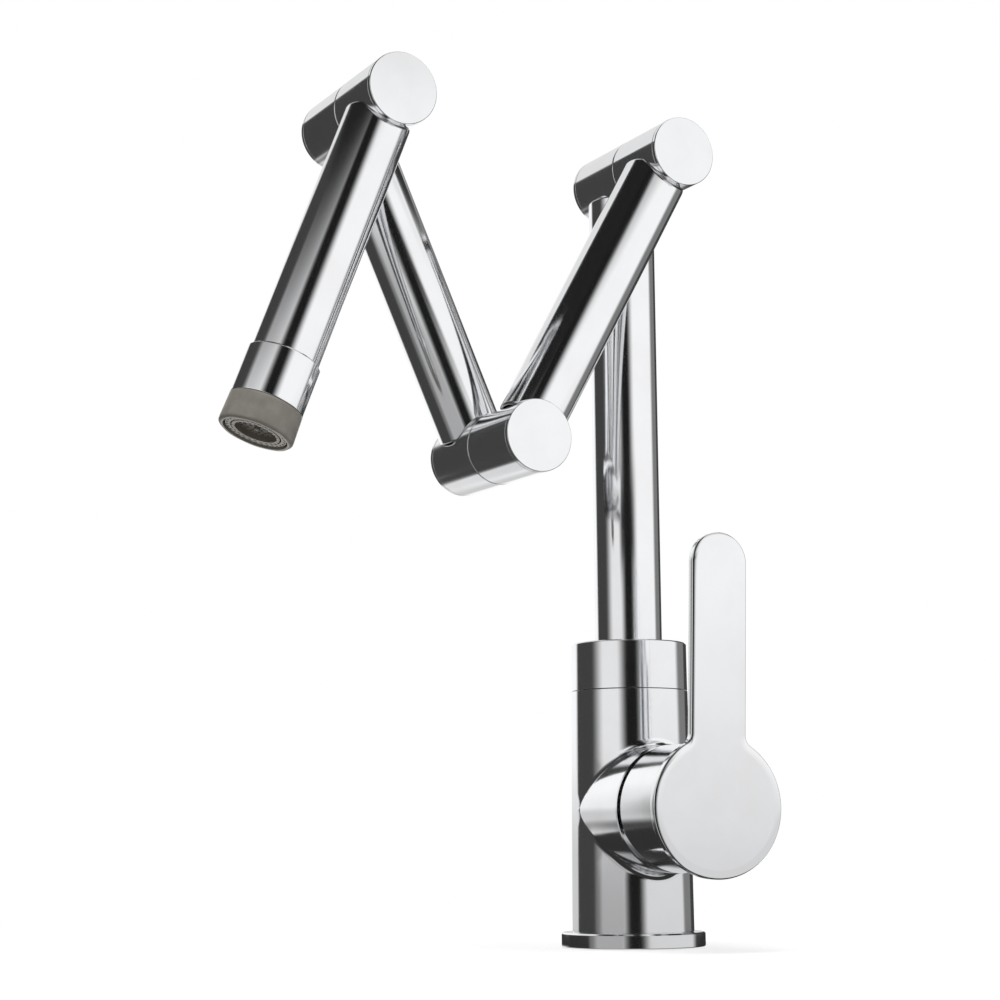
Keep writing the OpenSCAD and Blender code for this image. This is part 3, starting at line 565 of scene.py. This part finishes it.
def addNubs(values):
    # soft lips all round the rim of the stream outlet
    tree = bpy.data.node_groups.new("outlet lips", "GeometryNodeTree")
    inputs = []
    for name, kind, value in (("Count", "NodeSocketInt", values["count"]),
                              ("Ring Radius", "NodeSocketFloat", values["ringRadius"] * mm),
                              ("Lip Radius", "NodeSocketFloat", values["lipRadius"] * mm),
                              ("Lip", "NodeSocketFloat", values["lip"] * mm)):
        inputs.append((tree.interface.new_socket(name, in_out="INPUT", socket_type=kind).identifier, value))
    tree.interface.new_socket("Geometry", in_out="OUTPUT", socket_type="NodeSocketGeometry")
    given = addNode(tree, "NodeGroupInput").outputs
    hole = addNode(tree, "GeometryNodeCurvePrimitiveCircle", {
        "Resolution": values["sides"], "Radius": given["Lip Radius"]})
    bead = addNode(tree, "GeometryNodeCurvePrimitiveCircle", {
        "Resolution": values["lipSides"], "Radius": given["Lip"]})
    lip = addNode(tree, "GeometryNodeCurveToMesh", {"Curve": hole, "Profile Curve": bead})
    places = addNode(tree, "GeometryNodeMeshCircle", {"Vertices": given["Count"], "Radius": given["Ring Radius"]})
    copies = addNode(tree, "GeometryNodeInstanceOnPoints", {"Points": places, "Instance": lip})
    real = addNode(tree, "GeometryNodeRealizeInstances", {"Geometry": copies})
    made = addNode(tree, "GeometryNodeSetMaterial", {
        "Geometry": real, "Material": mouldedMaterial("nub silicone", nubSilicone)})
    addNode(tree, "NodeGroupOutput", {"Geometry": made})
    mesh = bakeModifier(bpy.data.meshes.new("nub pattern"), "NODES", {"node_group": tree}, inputs)
    mesh.transform(spoutFrame @ Matrix.Translation((0, 0, values["station"] * mm)))
    mesh.polygons.foreach_set("use_smooth", [True] * len(mesh.polygons))
    addPiece("outlet_lips", mesh, "spout")
    print("outlet lips:", len(mesh.polygons), "faces")


addNubs(nubs)

# front and back are the plate's flat faces, in mm from the body's axis; drop is how much of the crown's depth is kept
handle = {"front": 78.2, "crown": 3.5, "drop": 0.25, "steps": 12, "back": 74.2, "backRound": 0.6, "backSteps": 3,
          "flat": 0.4, "near": 0.05, "level": 0.99, "sharpAbove": 40}


def rimEdges(mesh, station, values):
    # the outline of the flat face at this distance from the body's axis
    edges = []
    for edge in mesh.edges:
        isNear = all(abs(vertex.co.x - station * mm) < values["near"] * mm for vertex in edge.verts)
        if isNear and len(edge.link_faces) == 2:
            level = [abs(face.normal.x) > values["level"] for face in edge.link_faces]
            if level[0] != level[1]:
                edges.append(edge)
    return edges


def addHandle(values):
    # the cast plate of the lever and disc, polished by hand: its face crowns gently towards a round outline
    copied = bmesh.new()
    copied.from_mesh(nodes["lever_handle"].data)
    bmesh.ops.remove_doubles(copied, verts=copied.verts, dist=samePlace)
    bmesh.ops.dissolve_limit(copied, verts=copied.verts, edges=copied.edges, angle_limit=math.radians(values["flat"]))
    for station, width, steps in ((values["front"], values["crown"], values["steps"]),
                                  (values["back"], values["backRound"], values["backSteps"])):
        edges = rimEdges(copied, station, values)
        bmesh.ops.bevel(copied, geom=edges, offset=width * mm, offset_type="OFFSET", segments=steps, profile=0.5,
                        affect="EDGES", clamp_overlap=False)
        if station == values["front"]:
            for vertex in copied.verts:
                depth = station * mm - vertex.co.x
                if depth < (width + values["near"]) * mm:
                    vertex.co.x = station * mm - depth * values["drop"]
            copied.normal_update()
        print("handle rounded on", len(edges), "edges")
    copied.verts.index_update()
    points = [vertex.co.copy() for vertex in copied.verts]
    faces = [[vertex.index for vertex in face.verts] for face in copied.faces]
    copied.free()
    mesh = newMesh("lever_handle_round", points, faces, "chrome", sharpAbove=values["sharpAbove"])
    mesh = bakeModifier(mesh, "WEIGHTED_NORMAL", {"keep_sharp": True})
    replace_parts(addPiece("lever_handle_round", mesh, "lever"), "lever_handle")


addHandle(handle)

# what the chrome mirrors: one round tent hangs about the tap, unseen by the camera, and cards on it dim the white;
# azimuth and elevation are in degrees from the tent's centre, azimuth 0 towards the camera and + to the picture's
# right; each soft edge is (fully clear, fully toned), and a lean slides a card sideways with height
tent = {"centre": (0, 0, 0.19), "turn": -21.8, "radius": 0.8, "low": -84, "high": 78, "step": 6}
cards = [
    {"name": "left wall", "tone": 0.052, "left": (-133, -126), "right": (-46, -83),
     "low": (-69, -66), "high": (80, 79), "lean": (30, 44, 14)},
    {"name": "left wall's foot", "tone": 0.052, "left": (-143, -134), "right": (-46, -83),
     "low": (-69, -66), "high": (-12, -22)},
    {"name": "left paper", "tone": 0.82, "left": (-140, -130), "right": (-5, -15),
     "low": (-69, -66), "high": (80, 79)},
    {"name": "ceiling left", "tone": 0.016, "left": (-122, -104), "right": (36, 13),
     "low": (20, 46), "high": (80, 79)},
    {"name": "camera gap", "tone": 0.012, "left": (-33, -7), "right": (33, 8),
     "low": (-61, -60), "high": (80, 79)},
    {"name": "camera gap's shoulders", "tone": 0.012, "left": (-36, -17), "right": (39, 14),
     "low": (2, 6), "high": (12, 9)},
    {"name": "ceiling right", "tone": 0.03, "left": (78, 94), "right": (152, 138),
     "low": (31, 41), "high": (66, 60)},
    {"name": "grey card", "tone": 0.2, "left": (97, 112), "right": (178, 165),
     "low": (-61, -60), "high": (45, 36)},
    {"name": "grey card's stripe", "tone": 0.05, "left": (124, 138), "right": (176, 168),
     "low": (-61, -60), "high": (38, 28)},
    {"name": "backdrop's top", "tone": 0.78, "left": (-182, -181), "right": (-120, -128),
     "low": (20, 40), "high": (80, 79)},
    {"name": "table behind", "tone": 0.62, "left": (-182, -181), "right": (-122, -128),
     "low": (-34, -18), "high": (-4, -12)},
    {"name": "floor behind", "tone": 0.68, "left": (-182, -181), "right": (-126, -132),
     "low": (-90, -89), "high": (-24, -32)},
    {"name": "haze on the table", "tone": 0.68, "left": (-126, -118), "right": (182, 181),
     "low": (-61, -60), "high": (-3, -14)},
    {"name": "right paper", "tone": 0.96, "left": (0, 14), "right": (104, 96),
     "low": (-61, -60), "high": (80, 79)},
    {"name": "right paper's top", "tone": 0.55, "left": (10, 25), "right": (95, 60),
     "low": (24, 44), "high": (80, 79)},
    {"name": "haze on the right", "tone": 0.7, "left": (2, 20), "right": (182, 181),
     "low": (-61, -60), "high": (12, -20)},
    {"name": "haze on the left", "tone": 0.4, "left": (-85, -70), "right": (-12, -22),
     "low": (-61, -60), "high": (-1, -14)},
    {"name": "table below", "tone": 0.66, "left": (-190, -189), "right": (190, 189),
     "low": (-90, -89), "high": (-52, -60)},
    {"name": "haze by the wall", "tone": 0.17, "left": (-100, -95), "right": (-40, -74),
     "low": (-61, -60), "high": (-2, -13)},
]


def tentMaterial(hung):
    # cut cards on clear film: each one only darkens, and where two overlap the darker one counts
    material, tree = newMaterial("tent film")
    angles = addNode(tree, "ShaderNodeSeparateXYZ", {
        "Vector": addNode(tree, "ShaderNodeUVMap", uv_map="angles")}).outputs
    passed = 1
    for card in hung:
        azimuth, elevation = angles["X"], angles["Y"]
        if "lean" in card:
            low, high, most = card["lean"]
            slide = addNode(tree, "ShaderNodeMapRange", {
                "Value": elevation, "From Min": low, "From Max": high, "To Max": most},
                interpolation_type="SMOOTHSTEP")
            azimuth = addNode(tree, "ShaderNodeMath", {0: azimuth, 1: slide}, operation="SUBTRACT")
        mask = 1 - card["tone"]
        for side, place in (("left", azimuth), ("right", azimuth), ("low", elevation), ("high", elevation)):
            clear, toned = card[side]
            edge = addNode(tree, "ShaderNodeMapRange", {
                "Value": place, "From Min": min(clear, toned), "From Max": max(clear, toned),
                "To Min": int(clear > toned), "To Max": int(clear < toned)}, interpolation_type="SMOOTHSTEP")
            mask = addNode(tree, "ShaderNodeMath", {0: mask, 1: edge}, operation="MULTIPLY")
        through = addNode(tree, "ShaderNodeMath", {0: 1, 1: mask}, operation="SUBTRACT")
        passed = addNode(tree, "ShaderNodeMath", {0: passed, 1: through}, operation="MINIMUM")
    film = addNode(tree, "ShaderNodeBsdfTransparent", {"Color": passed})
    addNode(tree, "ShaderNodeOutputMaterial", {"Surface": film})
    return material


def addMirrored(name, points, faces, layerName, values, material):
    # a stage piece that only mirror rays meet, with two numbers per point for its material
    mesh = bpy.data.meshes.new(name)
    mesh.from_pydata(points, [], faces)
    layer = mesh.uv_layers.new(name=layerName)
    for loop in mesh.loops:
        layer.data[loop.index].uv = values[loop.vertex_index]
    mesh.materials.append(material)
    piece = bpy.data.objects.new(name, mesh)
    bpy.context.collection.objects.link(piece)
    piece.visible_camera = piece.visible_diffuse = piece.visible_transmission = False
    piece.visible_volume_scatter = piece.visible_shadow = False


def addTent(values):
    step, low = values["step"], values["low"]
    across, up = 360 // step, (values["high"] - low) // step
    points, angles, faces = [], [], []
    for row in range(up + 1):
        for strip in range(across + 1):
            azimuth, elevation = -180 + step * strip, low + step * row
            turn, tilt = math.radians(azimuth + values["turn"]), math.radians(elevation)
            way = Vector((math.cos(turn) * math.cos(tilt), math.sin(turn) * math.cos(tilt), math.sin(tilt)))
            points.append(Vector(values["centre"]) + values["radius"] * way)
            angles.append((azimuth, elevation))
    for row in range(up):
        for strip in range(across):
            first = row * (across + 1) + strip
            faces.append((first, first + 1, first + across + 2, first + across + 1))
    addMirrored("tent", points, faces, "angles", angles, tentMaterial(cards))


addTent(tent)

# the dark board that the tap stands on, as far as the metal mirrors it, in metres; in front, over this sector of
# azimuths, it lies lower, clear of what the flange mirrors
board = {"tone": 0.03, "soft": 0.012, "count": 120, "frontSector": (-72, 104),
         "back": {"inner": 0.036, "outer": 0.15, "height": 0.0004},
         "front": {"inner": 0.05, "outer": 0.13, "height": -0.02}}


def boardMaterial(values):
    # dull black board with a soft edge, the same tone wherever it is mirrored
    material, tree = newMaterial("dark board")
    edge = addNode(tree, "ShaderNodeSeparateXYZ", {
        "Vector": addNode(tree, "ShaderNodeUVMap", uv_map="edge")}).outputs["X"]
    cover = addNode(tree, "ShaderNodeMapRange", {"Value": edge}, interpolation_type="SMOOTHSTEP")
    clear = addNode(tree, "ShaderNodeBsdfTransparent", {"Color": white})
    dark = addNode(tree, "ShaderNodeEmission", {"Color": white, "Strength": values["tone"]})
    mixed = addNode(tree, "ShaderNodeMixShader", {0: cover, 1: clear, 2: dark})
    addNode(tree, "ShaderNodeOutputMaterial", {"Surface": mixed})
    return material


def addBoard(values):
    count, soft = values["count"], values["soft"]
    first, last = values["frontSector"]
    points, edges, faces = [], [], []
    for k in range(count):
        azimuth = 360 * k / count - 180
        angle = math.radians(azimuth + tent["turn"])
        half = values["front" if first < azimuth < last else "back"]
        inner, outer = half["inner"], half["outer"]
        circles = ((inner - soft, 0), (inner, 1), (outer - soft, 1), (outer + soft, 0))
        for radius, mask in circles:
            points.append((radius * math.cos(angle), radius * math.sin(angle), half["height"]))
            edges.append((mask, 0))
        for j in range(len(circles) - 1):
            here, following = len(circles) * k + j, len(circles) * ((k + 1) % count) + j
            faces.append((here, here + 1, following + 1, following))
    addMirrored("board", points, faces, "edge", edges, boardMaterial(values))


addBoard(board)

room = {"seen": 1.0, "ambient": 0.5}


def seenRays(tree):
    # 1 for what the camera, a mirror or glass sees, and 0 for the light that falls on things
    ray = addNode(tree, "ShaderNodeLightPath").outputs
    seen = addNode(tree, "ShaderNodeMath", {0: ray["Is Camera Ray"], 1: ray["Is Glossy Ray"]}, operation="MAXIMUM")
    return addNode(tree, "ShaderNodeMath", {0: seen, 1: ray["Is Transmission Ray"]}, operation="MAXIMUM")


def addRoom(values):
    # white wherever it is seen, and dimmer as light
    world = bpy.data.worlds.new("white room")
    bpy.context.scene.world = world
    world.use_nodes = True
    tree = world.node_tree
    tree.nodes.clear()
    strength = addNode(tree, "ShaderNodeMapRange", {
        "Value": seenRays(tree), "To Min": values["ambient"], "To Max": values["seen"]},
        interpolation_type="SMOOTHSTEP")
    air = addNode(tree, "ShaderNodeBackground", {"Color": white, "Strength": strength})
    addNode(tree, "ShaderNodeOutputWorld", {"Surface": air})


addRoom(room)

floor = {"radius": 0.42, "height": -0.0003, "count": 96, "glow": 0.62, "white": 0.45}


def floorMaterial(values):
    # lit white paint that also glows a little, so that it melts into the white and keeps the tap's shadow
    material, tree = newMaterial("white floor")
    glow = addNode(tree, "ShaderNodeMath", {0: seenRays(tree), 1: values["glow"]}, operation="MULTIPLY")
    paint = addNode(tree, "ShaderNodeBsdfDiffuse", {"Color": [values["white"]] * 3 + [1]})
    shine = addNode(tree, "ShaderNodeEmission", {"Color": white, "Strength": glow})
    lit = addNode(tree, "ShaderNodeAddShader", {0: paint, 1: shine})
    below = addNode(tree, "ShaderNodeNewGeometry").outputs["Backfacing"]  # from underneath it doesn't hide the tap
    mixed = addNode(tree, "ShaderNodeMixShader", {0: below, 1: lit, 2: addNode(tree, "ShaderNodeBsdfTransparent")})
    addNode(tree, "ShaderNodeOutputMaterial", {"Surface": mixed})
    return material


def addFloor(values):
    rim = []
    for k in range(values["count"]):
        turn = k * math.tau / values["count"]
        rim.append((values["radius"] * math.cos(turn), values["radius"] * math.sin(turn), values["height"]))
    mesh = bpy.data.meshes.new("floor")
    mesh.from_pydata(rim, [], [range(values["count"])])
    mesh.materials.append(floorMaterial(values))
    piece = bpy.data.objects.new("floor", mesh)
    bpy.context.collection.objects.link(piece)
    piece.visible_glossy = False


addFloor(floor)

lampAim = (0.02, -0.09, 0.18)  # the middle of the tap, in metres
lamps = [
    {"name": "soft box above", "from": (0.35, -0.5, 1.5), "size": 1.1, "power": 16},
    {"name": "side fill", "from": (0.9, 0.6, 0.7), "size": 0.9, "power": 6},
]


def addLamp(values):
    light = bpy.data.lights.new(values["name"], "AREA")
    light.shape, light.size, light.energy = "DISK", values["size"], values["power"]
    lamp = bpy.data.objects.new(values["name"], light)
    lamp.location = values["from"]
    lamp.rotation_euler = (Vector(values["from"]) - Vector(lampAim)).to_track_quat("Z", "Y").to_euler()
    lamp.visible_glossy = lamp.visible_camera = False
    bpy.context.collection.objects.link(lamp)


for values in lamps:
    addLamp(values)
print("studio ready,", len(cards), "cards on the tent")

# fitted to the tap's outline in the picture; yaw, pitch and roll in degrees, lens and sensor in mm
view = {"place": (0.8084573, -0.3811992, 0.0419672), "yaw": 158.18176, "pitch": 9.15308, "roll": -0.44917,
        "lens": 76.716, "sensor": 36}


def addCamera(values):
    lens = bpy.data.cameras.new("picture camera")
    lens.lens, lens.sensor_width, lens.sensor_fit = values["lens"], values["sensor"], "HORIZONTAL"
    camera = bpy.data.objects.new("picture camera", lens)
    camera.matrix_world = (Matrix.Translation(values["place"])
                           @ Matrix.Rotation(math.radians(values["yaw"] - 90), 4, "Z")
                           @ Matrix.Rotation(math.radians(90 + values["pitch"]), 4, "X")
                           @ Matrix.Rotation(math.radians(values["roll"]), 4, "Z"))
    bpy.context.collection.objects.link(camera)
    bpy.context.scene.camera = camera


addCamera(view)
bpy.context.scene.view_settings.view_transform = "Standard"
print("camera set")
